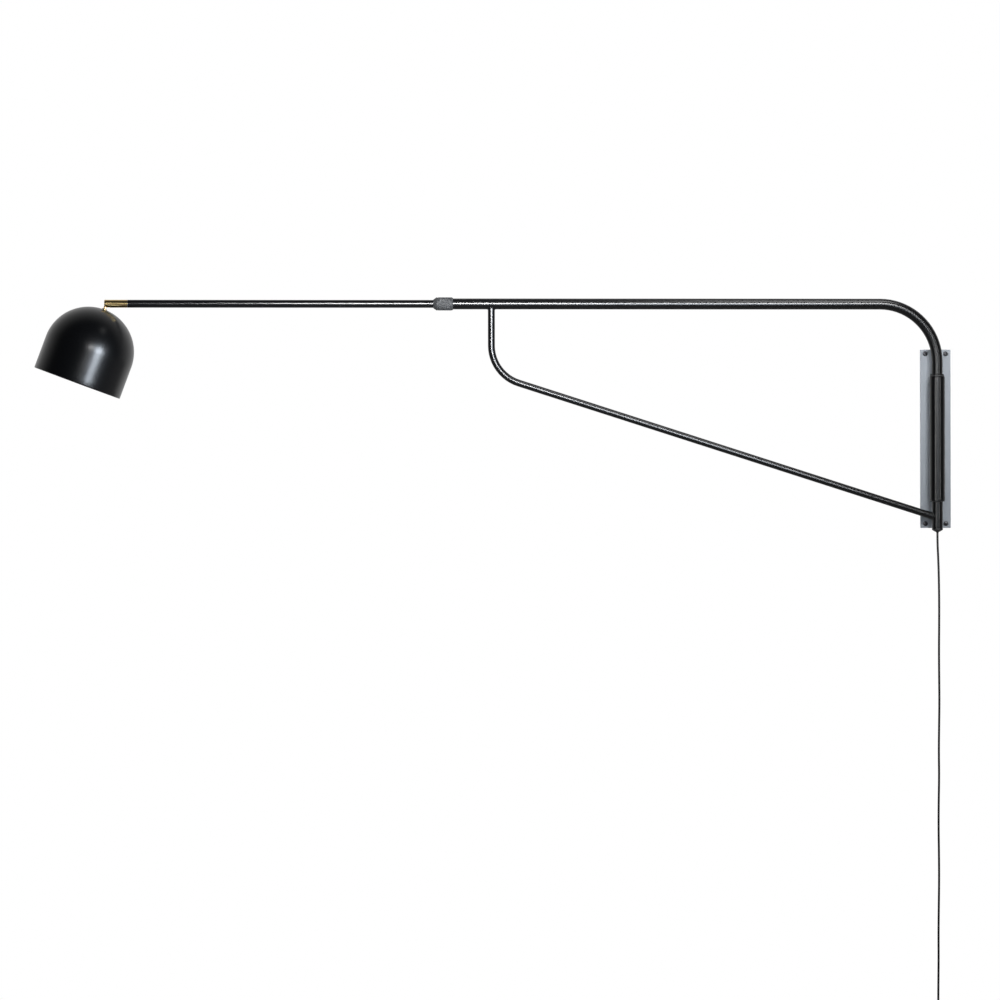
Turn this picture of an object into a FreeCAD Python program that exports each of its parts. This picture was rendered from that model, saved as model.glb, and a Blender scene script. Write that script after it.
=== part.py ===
import FreeCAD, Part
import math
import os
import Sketcher

# A wall lamp with a telescopic swing arm. The arm frame is a bent tube with a brace below it, whose leg
# turns in a sleeve on a wall plate. An inner tube slides out of the arm, is locked by a twist collar and
# ends in a slotted brass knuckle, in which a dome shade tilts. A cord hangs from the foot of the leg.
#
# Lengths are millimetres. The wall is the plane Y = 0, the room lies towards -Y, +Z is up and the origin
# is the middle of the wall plate's back face. Pieces on the arm are drawn in one of these frames:
#   pivot  upright on the sleeve's axis, with Z = 0 at the plate's middle
#   arm    the pivot frame turned by the rest swing, with the arm along -X
#   reach  Z along the arm's tube, outwards from the pivot axis, with X up
#   head   on the tilt pin, with Z up along the shade's own axis

Vector = FreeCAD.Vector
Rotation = FreeCAD.Rotation

SIZES = {
    # wall plate, its wall screws and the blocks that carry the sleeve
    "plate_width": 70.0,
    "plate_height": 412.0,
    "plate_thick": 5.0,
    "plate_corner": 2.0,
    "screw_across": 47.0,
    "screw_upright": 392.0,
    "screw_head": 12.0,
    "screw_shank": 6.0,
    "screw_neck": 4.6,
    "screw_free": 1.0,
    "screw_long": 50.0,
    "screw_point": 8.0,
    "screw_sunk": 0.2,
    "drive_wide": 3.8,
    "drive_deep": 1.8,
    "block_wide": 20.0,
    "block_tall": 36.0,
    "block_apart": 190.0,
    "block_screw": 5.0,
    "block_screw_head": 9.6,
    "block_screw_long": 16.0,
    "block_screw_apart": 18.0,
    # pivot: sleeve, bushes and the ring that carries the arm
    "axis_off": 40.0,
    "sleeve_dia": 35.0,
    "sleeve_bore": 29.0,
    "sleeve_long": 286.0,
    "sleeve_bevel": 1.5,
    "bush_long": 30.0,
    "flange_dia": 34.0,
    "flange_thick": 2.0,
    "ring_dia": 31.0,
    "ring_thick": 3.0,
    # arm frame
    "rest_swing": 2.5,
    "arm_height": 309.0,
    "tube_dia": 25.0,
    "tube_wall": 1.5,
    "bend_lift": 28.7,
    "tube_reach": 1126.0,
    "leg_drop": 208.0,
    "brace_dia": 16.0,
    "brace_wall": 1.5,
    "brace_bend": 90.0,
    "brace_reach": 1026.0,
    "brace_corner": 148.0,
    "brace_foot": 182.0,
    # foot of the leg
    "cap_plug": 12.0,
    "cap_lip": 2.0,
    "cap_cone": 4.0,
    "cap_nose": 12.0,
    "gland_dia": 9.0,
    "gland_inside": 16.0,
    "gland_outside": 8.0,
    "gland_tip": 6.4,
    # twist lock
    "collar_dia": 30.0,
    "collar_long": 44.9,
    "collar_skirt": 12.2,
    "collar_nose": 7.0,
    "collar_mouth": 20.0,
    "collar_bevel": 1.6,
    "groove_wide": 2.0,
    "groove_deep": 0.8,
    "insert_plug": 40.0,
    "insert_nose": 14.0,
    "insert_dia": 24.2,
    "collet_long": 12.0,
    "collet_tip": 20.4,
    "collet_slit": 1.6,
    # extension
    "inner_dia": 18.0,
    "inner_wall": 1.2,
    "inner_shown": 696.5,
    "inner_overlap": 108.0,
    "guide_long": 30.0,
    "guide_inset": 5.0,
    "grommet_lip": 3.0,
    "grommet_plug": 9.0,
    "washer_thin": 0.5,
    # brass knuckle
    "knuckle_long": 53.0,
    "spigot_long": 22.0,
    "knuckle_bore": 8.0,
    "grub_dia": 3.0,
    "grub_back": 15.0,
    "race_wide": 4.0,
    "race_deep": 1.2,
    "pin_back": 5.0,
    "pin_dia": 4.0,
    "pin_long": 16.0,
    "slot_wide": 7.2,
    "slot_deep": 13.0,
    "slot_roof": 5.2,
    # shade and neck
    "rest_tilt": 20.4,
    "neck_dia": 6.6,
    "neck_bore": 4.0,
    "eye_dia": 9.0,
    "eye_thick": 6.0,
    "eye_tail": 7.0,
    "port_drop": 8.4,
    "seat_drop": 14.0,
    "seat_dia": 13.0,
    "seat_thick": 1.2,
    "stub_dia": 10.0,
    "stub_long": 14.0,
    "shade_dia": 206.0,
    "shade_straight": 76.0,
    "shade_wall": 1.5,
    "rim_lip": 2.0,
    "rim_tall": 2.5,
    "rim_bevel": 0.8,
    # lampholder and lamp
    "lock_washer_dia": 18.0,
    "lock_washer_thick": 1.0,
    "nut_flats": 14.0,
    "nut_thick": 3.0,
    "holder_cap_top": 30.0,
    "holder_cap_dia": 38.0,
    "holder_cap_tall": 20.0,
    "holder_cap_wall": 2.5,
    "holder_boss": 16.0,
    "holder_boss_tall": 8.0,
    "holder_dia": 40.0,
    "holder_tall": 38.0,
    "holder_bore": 27.0,
    "carrier_dia": 31.8,
    "carrier_tall": 9.0,
    "lamp_cap_dia": 26.4,
    "lamp_cap_tall": 25.5,
    "lamp_tip_dia": 9.0,
    "lamp_globe": 60.0,
    "lamp_long": 105.0,
    # leads and cord
    "cord_dia": 5.0,
    "lead_dia": 3.6,
    "curl_dia": 16.0,
    "curl_start": 205.0,
    "coil_inner": 40.0,
    "coil_pitch": 5.7,
    "layer_pitch": 5.7,
    "tie_wide": 9.0,
    "tie_thick": 1.4,
    # switch on the cord
    "switch_wide": 28.0,
    "switch_tall": 64.0,
    "switch_half": 10.0,
    "switch_wall": 2.0,
    "switch_corner": 6.0,
    "rocker_wide": 12.0,
    "rocker_tall": 18.4,
    "rocker_proud": 2.0,
    "rocker_dip": 1.2,
    "rocker_rest": 12.0,
    "axle_dia": 3.0,
    "axle_long": 15.0,
    "terminal_wide": 16.0,
    "terminal_tall": 40.0,
    "terminal_deep": 5.2,
    # plug
    "relief_long": 20.0,
    "relief_top": 6.4,
    "relief_foot": 10.0,
    "plug_tall": 32.0,
    "plug_wide": 35.0,
    "plug_neck": 15.0,
    "plug_deep": 13.7,
    "pin_spacing": 18.6,
    "prong_dia": 4.0,
    "prong_long": 19.0,
    # clearances
    "running": 0.05,
    "seat_gap": 0.02,
    "soft_gap": 0.3,
    "twist_gap": 0.1,
}

# The cord as the eye sees it, from the gland down to the switch: (across, out of the wall, below the
# origin), in the pivot frame. It hangs nearly straight, with a slight memory of its old coil.
HANGING = [
    (0.0, 0.0, -216.0),
    (0.0, 0.0, -240.0),
    (1.6, 0.6, -270.0),
    (2.9, 0.5, -310.0),
    (3.7, -0.4, -365.0),
    (3.5, -1.0, -425.0),
    (2.9, -0.6, -487.0),
    (3.4, 0.3, -548.0),
    (4.0, 0.9, -606.0),
    (3.1, 0.7, -662.0),
    (2.2, -0.2, -722.0),
    (2.9, -0.9, -775.0),
    (1.7, -0.6, -835.0),
    (1.4, 0.4, -893.0),
    (2.3, 1.0, -952.0),
    (2.6, 0.6, -1014.0),
    (1.6, -0.3, -1074.0),
    (0.7, -0.8, -1136.0),
    (1.0, -0.3, -1196.0),
    (0.4, 0.2, -1250.0),
    (0.0, 0.0, -1300.0),
    (0.0, 0.0, -1331.0),
]
SWITCH_AT = -1351.0  # the switch's middle on the hanging cord

COIL_MIDDLE = (0.0, 0.0, -1465.0)
COIL_TURNS = (3.5, 0.25, 3.5)  # inwards on the wall's side, across to the next layer, outwards
COIL_STARTS = 45.0  # degrees above the level through the coil's middle
TIE_BACK = 0.375  # turns from the strap at the coil's top to where the cord leaves the coil
PLUG_AT = -1546.0  # top of the plug's strain relief


class Size:
    """A length with the sheet expression that gives it, so a drawn start and its binding agree."""

    def __init__(self, number, words=None):
        self.number = float(number)
        self.words = words or repr(float(number))

    def __add__(self, other):
        other = as_size(other)
        return Size(self.number + other.number, f"({self.words} + {other.words})")

    def __sub__(self, other):
        other = as_size(other)
        return Size(self.number - other.number, f"({self.words} - {other.words})")

    def __mul__(self, other):
        other = as_size(other)
        return Size(self.number * other.number, f"({self.words} * {other.words})")

    def __truediv__(self, other):
        other = as_size(other)
        return Size(self.number / other.number, f"({self.words} / {other.words})")

    def __neg__(self):
        return Size(-self.number, f"(0 - {self.words})")


def as_size(value):
    return value if isinstance(value, Size) else Size(value)


def root_of(size):
    return Size(math.sqrt(size.number), f"sqrt({size.words})")


class Sheet:
    """The spreadsheet of driving sizes, read by name."""

    def __init__(self, doc, sizes):
        cells = doc.addObject("Spreadsheet::Sheet", "Sizes")
        for row, (name, number) in enumerate(sizes.items(), start=1):
            cells.set(f"A{row}", name)
            cells.set(f"B{row}", str(number))
            cells.setAlias(f"B{row}", name)
        doc.recompute()
        self.sizes = {name: Size(number, f"Sizes.{name}") for name, number in sizes.items()}

    def __getattr__(self, name):
        return self.sizes[name]


doc = FreeCAD.newDocument("WallLamp")
at = Sheet(doc, SIZES)
nodes = []  # every sub-part, in the order made


# ---------------------------------------------------------------- drawing helpers


class Round:
    """In an outline, an arc of this radius from the vertex before it to the vertex after it."""

    def __init__(self, radius, left=True):
        self.radius = as_size(radius)
        self.left = left  # whether the arc bulges to the left of the way from one vertex to the next


def bind(thing, path, size):
    thing.setExpression(path, as_size(size).words)


def new_body(label):
    body = doc.addObject("PartDesign::Body", label)
    body.Label = label
    nodes.append(body)
    return body


def origin_part(body, role):
    return next(f for f in body.Origin.OriginFeatures if f.Role == role)


def new_sketch(body, plane, lift=None):
    """A sketch on one of the body's own origin planes, lifted along the plane's normal."""
    sketch = body.newObject("Sketcher::SketchObject", "Sketch")
    sketch.AttachmentSupport = [(origin_part(body, plane), "")]
    sketch.MapMode = "FlatFace"
    if lift is not None:
        sketch.AttachmentOffset = FreeCAD.Placement(Vector(0, 0, as_size(lift).number), Rotation())
        bind(sketch, "AttachmentOffset.Base.z", lift)
    return sketch


def pin_point(sketch, geometry, point, x, y):
    """Holds a point of the sketch at two signed distances from its origin."""
    for kind, axis, size in (("DistanceX", -2, as_size(x)), ("DistanceY", -1, as_size(y))):
        if abs(size.number) < 1e-9:
            sketch.addConstraint(Sketcher.Constraint("PointOnObject", geometry, point, axis))
            continue
        low, high = ((-1, 1), (geometry, point)) if size.number > 0 else ((geometry, point), (-1, 1))
        made = sketch.addConstraint(Sketcher.Constraint(kind, *low, *high, abs(size.number)))
        bind(sketch, f"Constraints[{made}]", size if size.number > 0 else -size)


def arc_between(start, end, radius, left):
    """The arc of this radius from start to end, drawn counter-clockwise as sketches need it."""
    chord = end - start
    half = chord.Length / 2
    rise = radius - math.sqrt(max(radius * radius - half * half, 0.0))
    aside = Vector(-chord.y, chord.x, 0).normalize() * (rise if left else -rise)
    middle = (start + end) / 2 + aside
    return Part.Arc(end, middle, start) if left else Part.Arc(start, middle, end)


def draw_outline(sketch, outline):
    """A closed outline of straight lines, and of arcs where a Round stands between two vertices."""
    corners = [(as_size(p[0]), as_size(p[1])) for p in outline if not isinstance(p, Round)]
    rounds = {}
    count = -1
    for entry in outline:
        if isinstance(entry, Round):
            rounds[count] = entry
        else:
            count += 1
    spots = [Vector(x.number, y.number, 0) for x, y in corners]
    first = sketch.GeometryCount
    ends = []
    for i, spot in enumerate(spots):
        after = spots[(i + 1) % len(spots)]
        if i in rounds:
            sketch.addGeometry(arc_between(spot, after, rounds[i].radius.number, rounds[i].left))
            ends.append((2, 1) if rounds[i].left else (1, 2))
        else:
            sketch.addGeometry(Part.LineSegment(spot, after))
            ends.append((1, 2))
    for i, (x, y) in enumerate(corners):
        before = (i - 1) % len(corners)
        joint = (first + before, ends[before][1], first + i, ends[i][0])
        sketch.addConstraint(Sketcher.Constraint("Coincident", *joint))
        pin_point(sketch, first + i, ends[i][0], x, y)
    for i, entry in rounds.items():
        made = sketch.addConstraint(Sketcher.Constraint("Radius", first + i, entry.radius.number))
        bind(sketch, f"Constraints[{made}]", entry.radius)


def draw_box(sketch, low, high):
    """A rectangle from its low corner to its high corner."""
    draw_outline(sketch, [low, (high[0], low[1]), high, (low[0], high[1])])


def draw_circle(sketch, x, y, radius):
    x, y, radius = as_size(x), as_size(y), as_size(radius)
    shape = Part.Circle(Vector(x.number, y.number, 0), Vector(0, 0, 1), radius.number)
    made = sketch.addGeometry(shape)
    pin_point(sketch, made, 3, x, y)
    limit = sketch.addConstraint(Sketcher.Constraint("Radius", made, radius.number))
    bind(sketch, f"Constraints[{limit}]", radius)


def revolve(body, outline):
    """Turns an outline of (radius, height) about the body's Z axis."""
    sketch = new_sketch(body, "XZ_Plane")
    draw_outline(sketch, outline)
    turn = body.newObject("PartDesign::Revolution", "Turn")
    turn.Profile = sketch
    turn.ReferenceAxis = (sketch, ["V_Axis"])
    turn.Angle = 360
    return turn


def turned(label, outline):
    body = new_body(label)
    revolve(body, outline)
    return body


def tube(label, inner, outer, low, high):
    """A plain ring or tube, or a rod where inner is None."""
    inside = 0 if inner is None else inner
    return turned(label, [(inside, low), (outer, low), (outer, high), (inside, high)])


def pad(body, sketch, length, both_ways=False, reverse=False):
    feature = body.newObject("PartDesign::Pad", "Pad")
    feature.Profile = sketch
    feature.Reversed = reverse
    if both_ways:
        feature.SideType = "Symmetric"
    bind(feature, "Length", length)
    doc.recompute()
    return feature


def pocket(body, sketch, length=None, both_ways=False, reverse=False):
    """Cuts a sketch into the body, right through where no length is given, and checks that it cut."""
    doc.recompute()
    before = body.Shape.Volume
    feature = body.newObject("PartDesign::Pocket", "Pocket")
    feature.Profile = sketch
    feature.Reversed = reverse
    if both_ways:
        feature.SideType = "Symmetric"
    if length is None:
        feature.Type = "ThroughAll"
    else:
        bind(feature, "Length", length)
    doc.recompute()
    if body.Shape.Volume > before - 1e-3:
        raise ValueError(f"a pocket in {body.Label} cuts nothing")
    return feature


def repeat(body, feature, axis, spacing, axis2=None, spacing2=None):
    """A second copy of a feature along one axis, and of both along another."""
    rows = body.newObject("PartDesign::LinearPattern", "Pattern")
    rows.Originals = [feature]
    rows.Direction = (origin_part(body, axis), [""])
    rows.Occurrences = 2
    bind(rows, "Length", spacing)
    if axis2:
        rows.Direction2 = (origin_part(body, axis2), [""])
        rows.Occurrences2 = 2
        bind(rows, "Length2", spacing2)
    body.Tip = rows
    doc.recompute()
    return rows


def fillet(body, edges_of, radius):
    """Rounds the edges that edges_of picks from the body's shape so far."""
    doc.recompute()
    base = body.Tip
    names = [f"Edge{i}" for i, edge in enumerate(base.Shape.Edges, start=1) if edges_of(edge)]
    feature = body.newObject("PartDesign::Fillet", "Fillet")
    feature.Base = (base, names)
    bind(feature, "Radius", radius)
    doc.recompute()
    return feature


def runs_along(axis):
    """Picks straight edges that run along X, Y or Z."""
    along = {"X": Vector(1, 0, 0), "Y": Vector(0, 1, 0), "Z": Vector(0, 0, 1)}[axis]

    def test(edge):
        if edge.Curve.TypeId != "Part::GeomLine":
            return False
        return abs(abs(edge.Curve.Direction.dot(along)) - 1) < 1e-6

    return test


# ---------------------------------------------------------------- frames

SWING = Rotation(Vector(0, 0, 1), at.rest_swing.number)
TILT = Rotation(Vector(0, 1, 0), at.rest_tilt.number)
OUTWARD = Rotation(Vector(0, 1, 0), -90)
TO_ROOM = Rotation(Vector(1, 0, 0), 90)
TO_WALL = Rotation(Vector(1, 0, 0), -90)


def place(body, x, y, z, rotation=Rotation()):
    """Places a sub-part, with its three coordinates bound to the sheet."""
    spot = [as_size(v) for v in (x, y, z)]
    body.Placement = FreeCAD.Placement(Vector(*[v.number for v in spot]), rotation)
    for axis, value in zip("xyz", spot):
        bind(body, f"Placement.Base.{axis}", value)
    return body


def on_pivot(body, height=0):
    return place(body, 0, -at.axis_off, height)


def on_arm(body):
    return place(body, 0, -at.axis_off, 0, SWING)


def on_reach(body, lower=0):
    return place(body, 0, -at.axis_off, at.arm_height - lower, SWING * OUTWARD)


def pivot_point(reach):
    """Where the arm's axis is at this distance from the pivot axis."""
    cosine = Size(math.cos(math.radians(at.rest_swing.number)), "cos(Sizes.rest_swing)")
    sine = Size(math.sin(math.radians(at.rest_swing.number)), "sin(Sizes.rest_swing)")
    return -(reach * cosine), -at.axis_off - reach * sine, at.arm_height


def on_head(body):
    return place(body, *pivot_point(pin_reach), SWING * TILT)


# ---------------------------------------------------------------- derived places

tube_radius = at.tube_dia / 2
tube_bore = tube_radius - at.tube_wall
inner_radius = at.inner_dia / 2
inner_bore = inner_radius - at.inner_wall
sleeve_top = at.sleeve_long / 2
ring_top = sleeve_top + at.flange_thick + at.soft_gap + at.ring_thick
tube_bend = at.arm_height - ring_top - at.bend_lift
leg_foot = -at.leg_drop

collar_low = at.tube_reach - at.collar_skirt  # the collar's face towards the wall plate
collar_high = collar_low + at.collar_long
insert_top = at.tube_reach + at.insert_nose
inner_tail = collar_high - at.inner_overlap
inner_end = collar_high + at.inner_shown
knuckle_low = inner_end + at.washer_thin
knuckle_high = knuckle_low + at.knuckle_long - at.washer_thin
pin_reach = knuckle_high - at.pin_back

dome_radius = at.shade_dia / 2
dome_middle = -(at.seat_drop + dome_radius)
mouth = dome_middle - at.shade_straight
dome_inside = dome_radius - at.shade_wall

cord_radius = at.cord_dia / 2
gland_end = leg_foot - at.gland_outside


# ---------------------------------------------------------------- wall plate and pivot


def make_wall_plate():
    body = new_body("wall_plate")
    face = new_sketch(body, "XZ_Plane")
    wide, tall = at.plate_width / 2, at.plate_height / 2
    draw_box(face, (-wide, -tall), (wide, tall))
    pad(body, face, at.plate_thick)
    fillet(body, runs_along("Y"), at.plate_corner)
    countersink(body, at.plate_thick, wall_screw_spots(), at.screw_shank + 0.6, at.screw_head + 0.4)
    back = countersink(body, 0, block_screw_spots(), at.block_screw + 0.3, at.block_screw_head + 0.4)
    back.Reversed = True
    return place(body, 0, 0, 0)


def wall_screw_spots():
    across, upright = at.screw_across / 2, at.screw_upright / 2
    return [(x, z) for x in (-across, across) for z in (-upright, upright)]


def block_screw_spots():
    middle, apart = at.block_apart / 2, at.block_screw_apart / 2
    return [(0, block + step) for block in (-middle, middle) for step in (-apart, apart)]


def countersink(body, lift, spots, hole, head):
    sketch = new_sketch(body, "XZ_Plane", lift)
    for x, z in spots:
        draw_circle(sketch, x, z, hole / 2)
    doc.recompute()
    feature = body.newObject("PartDesign::Hole", "Hole")
    feature.Profile = sketch
    feature.DepthType = "ThroughAll"
    feature.Threaded = False
    feature.ThreadType = "None"
    feature.HoleCutType = "Countersink"
    feature.HoleCutCustomValues = True
    feature.HoleCutCountersinkAngle = 90
    bind(feature, "Diameter", hole)
    bind(feature, "HoleCutDiameter", head)
    return feature


def countersunk_screw(label, shank, head, long, point, neck=None):
    """A screw about Z with its head's face at Z = 0, a round drive recess and a pointed end. neck is the
    width of a plain neck and the depth at which the thread begins."""
    cone = (head - shank) / 2
    under_head = [(shank / 2, -cone)]
    if neck:
        wide, deep = neck
        under_head = [(wide / 2, (wide - head) / 2), (wide / 2, -deep), (shank / 2, -deep)]
    return turned(
        label,
        [
            (0, -at.drive_deep),
            (at.drive_wide / 2, -at.drive_deep),
            (at.drive_wide / 2, 0),
            (head / 2, 0),
            *under_head,
            (shank / 2, point - long),
            (0, -long),
        ],
    )


def make_plate_screws():
    neck = (at.screw_neck, at.plate_thick + at.screw_free - at.screw_sunk)
    body = countersunk_screw(
        "plate_screws", at.screw_shank, at.screw_head, at.screw_long, at.screw_point, neck
    )
    repeat(body, body.Tip, "X_Axis", at.screw_across, "Y_Axis", at.screw_upright)
    front = at.screw_sunk - at.plate_thick
    return place(body, -at.screw_across / 2, front, -at.screw_upright / 2, TO_ROOM)


def make_sleeve_blocks():
    body = new_body("sleeve_blocks")
    foot = new_sketch(body, "XZ_Plane", at.plate_thick)
    wide, tall, middle = at.block_wide / 2, at.block_tall / 2, at.block_apart / 2
    draw_box(foot, (-wide, -middle - tall), (wide, -middle + tall))
    draw_box(foot, (-wide, middle - tall), (wide, middle + tall))
    pad(body, foot, at.axis_off - at.plate_thick - at.sleeve_dia / 4)
    saddle = new_sketch(body, "XY_Plane")
    draw_circle(saddle, 0, -at.axis_off, at.sleeve_dia / 2 + at.seat_gap)
    pocket(body, saddle, both_ways=True)
    holes = new_sketch(body, "XZ_Plane", at.plate_thick)
    for x, z in block_screw_spots():
        draw_circle(holes, x, z, at.block_screw / 2 + at.seat_gap)
    pocket(body, holes, at.block_screw_long - at.plate_thick + 0.5, reverse=True)
    return place(body, 0, 0, 0)


def make_block_screws():
    body = countersunk_screw(
        "block_screws", at.block_screw, at.block_screw_head, at.block_screw_long, at.block_screw / 4
    )
    repeat(body, body.Tip, "Y_Axis", at.block_screw_apart, "Y_Axis", at.block_apart)
    low = at.block_apart / 2 + at.block_screw_apart / 2
    return place(body, 0, -at.screw_sunk, low, TO_WALL)


def make_pivot_sleeve():
    inner, outer, bevel = at.sleeve_bore / 2, at.sleeve_dia / 2, at.sleeve_bevel
    outline = [
        (inner, -sleeve_top),
        (outer - bevel, -sleeve_top),
        (outer, bevel - sleeve_top),
        (outer, sleeve_top - bevel),
        (outer - bevel, sleeve_top),
        (inner, sleeve_top),
    ]
    return on_pivot(turned("pivot_sleeve", outline))


def make_bush(label, side):
    """A flanged bush at one end of the sleeve; side is 1 at the top and -1 at the bottom."""
    bore = tube_radius + at.running
    body = at.sleeve_bore / 2 - at.seat_gap
    end = sleeve_top * side
    flange = end + at.flange_thick * side
    outline = [
        (bore, flange),
        (at.flange_dia / 2 - at.sleeve_bevel / 2, flange),
        (at.flange_dia / 2, flange - at.sleeve_bevel / 2 * side),
        (at.flange_dia / 2, end),
        (body, end),
        (body, end - at.bush_long * side),
        (bore, end - at.bush_long * side),
    ]
    return on_pivot(turned(label, outline))


def make_support_ring():
    """The ring brazed to the leg that stands on the upper bush and carries the arm."""
    high = ring_top
    low = high - at.ring_thick
    bore, outer = tube_radius + at.seat_gap, at.ring_dia / 2
    outline = [(bore, low), (outer, low), (outer, high - 1), (outer - 1, high), (bore, high)]
    return on_arm(turned("support_ring", outline))


# ---------------------------------------------------------------- arm frame


def bent_path(body, start, corner, end, bend):
    """The sketch of a path from start towards corner, round a bend and on to end, in the XZ plane."""
    sketch = new_sketch(body, "XZ_Plane")
    a, b, c = [Vector(as_size(p[0]).number, as_size(p[1]).number, 0) for p in (start, corner, end)]
    back, ahead = (a - b).normalize(), (c - b).normalize()
    half = (math.pi - back.getAngle(ahead)) / 2
    reach = bend.number * math.tan(half)
    middle = b + (back + ahead).normalize() * (bend.number / math.cos(half) - bend.number)
    into, out = b + back * reach, b + ahead * reach
    left_hand = (b - a).cross(c - b).z > 0
    sketch.addGeometry(Part.LineSegment(a, into))
    sketch.addGeometry(Part.Arc(into, middle, out) if left_hand else Part.Arc(out, middle, into))
    sketch.addGeometry(Part.LineSegment(out, c))
    sketch.addGeometry(Part.Point(b), True)
    first, second = (1, 2) if left_hand else (2, 1)
    sketch.addConstraint(Sketcher.Constraint("Tangent", 0, 2, 1, first))
    sketch.addConstraint(Sketcher.Constraint("Tangent", 1, second, 2, 1))
    limit = sketch.addConstraint(Sketcher.Constraint("Radius", 1, bend.number))
    bind(sketch, f"Constraints[{limit}]", bend)
    pin_point(sketch, 0, 1, *start)
    pin_point(sketch, 2, 2, *end)
    pin_point(sketch, 3, 1, *corner)
    sketch.addConstraint(Sketcher.Constraint("PointOnObject", 3, 1, 0))
    sketch.addConstraint(Sketcher.Constraint("PointOnObject", 3, 1, 2))
    return sketch


def bent_tube(label, start, corner, end, bend, outer, inner=None):
    """A tube, or a rod, along a bent path whose start points up or down."""
    body = new_body(label)
    path = bent_path(body, start, corner, end, bend)
    ring = new_sketch(body, "XY_Plane", start[1])
    draw_circle(ring, start[0], 0, outer)
    if inner is not None:
        draw_circle(ring, start[0], 0, inner)
    doc.recompute()
    sweep = body.newObject("PartDesign::AdditivePipe", "Sweep")
    sweep.Profile = ring
    sweep.Spine = (path, [])
    doc.recompute()
    return body


def make_main_tube():
    body = bent_tube(
        "main_tube",
        (0, leg_foot),
        (0, at.arm_height),
        (-at.tube_reach, at.arm_height),
        tube_bend,
        tube_radius,
        tube_bore,
    )
    return on_arm(body)


def make_brace_tube():
    body = bent_tube(
        "brace_tube",
        (-at.brace_reach, at.arm_height),
        (-at.brace_reach, at.brace_corner),
        (0, -at.brace_foot),
        at.brace_bend,
        at.brace_dia / 2,
        at.brace_dia / 2 - at.brace_wall,
    )
    under_arm = new_sketch(body, "YZ_Plane")
    draw_circle(under_arm, 0, at.arm_height, tube_radius + at.seat_gap)
    pocket(body, under_arm, both_ways=True)
    round_leg = new_sketch(body, "XY_Plane")
    draw_circle(round_leg, 0, 0, tube_radius + at.seat_gap)
    pocket(body, round_leg, both_ways=True)
    return on_arm(body)


def make_leg_cap():
    """The plug in the foot of the leg, with a coned nose round the gland."""
    bore = at.gland_dia / 2 + at.seat_gap
    lip = leg_foot - at.cap_lip
    outline = [
        (bore, leg_foot + at.cap_plug),
        (tube_bore - at.seat_gap, leg_foot + at.cap_plug),
        (tube_bore - at.seat_gap, leg_foot),
        (tube_radius, leg_foot),
        (tube_radius, lip),
        (at.cap_nose / 2, lip - at.cap_cone),
        (bore, lip - at.cap_cone),
    ]
    return on_arm(turned("leg_cap", outline))


def make_cord_gland():
    bore = cord_radius + at.seat_gap
    top, end = leg_foot + at.gland_inside, gland_end
    lip = leg_foot - at.cap_lip - at.cap_cone
    outline = [(bore, top), (at.gland_dia / 2, top), (at.gland_dia / 2, lip), (at.gland_tip / 2, end), (bore, end)]
    return on_arm(turned("cord_gland", outline))


def make_leg_lead():
    """The cord's run inside the leg and round the bend."""
    body = bent_tube(
        "leg_lead",
        (0, gland_end),
        (0, at.arm_height),
        (-at.curl_start, at.arm_height),
        tube_bend,
        cord_radius,
    )
    return on_arm(body)


def make_curly_lead():
    """The stretching lead in the arm, as one fat rod of its curls' outside, lying in the tube."""
    lower = tube_bore - at.curl_dia / 2 - at.soft_gap
    end = inner_tail - at.grommet_lip - at.soft_gap
    return on_reach(tube("curly_lead", None, at.curl_dia / 2, at.curl_start, end), lower)


# ---------------------------------------------------------------- twist lock


def make_clamp_insert():
    """The threaded end fixed in the arm's tube, on which the collar turns."""
    bore = inner_radius + at.soft_gap
    plug, nose = tube_bore - at.seat_gap, at.insert_dia / 2
    start, face = at.tube_reach - at.insert_plug, at.tube_reach + at.seat_gap
    outline = [(bore, start), (plug, start), (plug, face), (nose, face), (nose, insert_top), (bore, insert_top)]
    return on_reach(turned("clamp_insert", outline))


def make_collet_ring():
    """The split nylon ring that the collar's taper closes on the inner tube."""
    bore = inner_radius + at.running
    low, high = insert_top + at.seat_gap, insert_top + at.collet_long
    outline = [(bore, low), (at.insert_dia / 2, low), (at.collet_tip / 2, high), (bore, high)]
    body = turned("collet_ring", outline)
    slit = new_sketch(body, "YZ_Plane")
    half = at.collet_slit / 2
    draw_box(slit, (-half, low - 1), (half, high + 1))
    pocket(body, slit, reverse=True)
    return on_reach(body)


def make_lock_collar():
    skirt = tube_radius + at.twist_gap
    taper_low, taper_high = insert_top + 1, insert_top + at.collet_long + 0.5
    taper = at.collet_tip / 2 + at.soft_gap
    mouth_bore = inner_radius + at.soft_gap
    outer, bevel = at.collar_dia / 2, at.collar_bevel
    shoulder = collar_high - at.collar_nose
    groove = shoulder - at.groove_wide
    outline = [
        (skirt, collar_low),
        (outer - bevel, collar_low),
        (outer, collar_low + bevel * 2),
        (outer, groove - at.groove_wide),
        (outer - at.groove_deep, groove - at.groove_wide),
        (outer - at.groove_deep, groove),
        (outer, groove),
        (outer, shoulder),
        (at.collar_mouth / 2, collar_high),
        (mouth_bore, collar_high),
        (mouth_bore, taper_high),
        (taper, taper_high),
        (skirt, taper_low),
    ]
    return on_reach(turned("lock_collar", outline))


# ---------------------------------------------------------------- extension


def make_inner_tube():
    body = tube("inner_tube", inner_bore, inner_radius, inner_tail, inner_end)
    hole = new_sketch(body, "YZ_Plane")
    draw_circle(hole, 0, inner_end - at.grub_back, at.grub_dia / 2 + at.seat_gap)
    pocket(body, hole)
    return on_reach(body)


def make_guide_bush():
    low = inner_tail + at.guide_inset
    outer = tube_bore - at.running
    return on_reach(tube("guide_bush", inner_radius + at.seat_gap, outer, low, low + at.guide_long))


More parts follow.
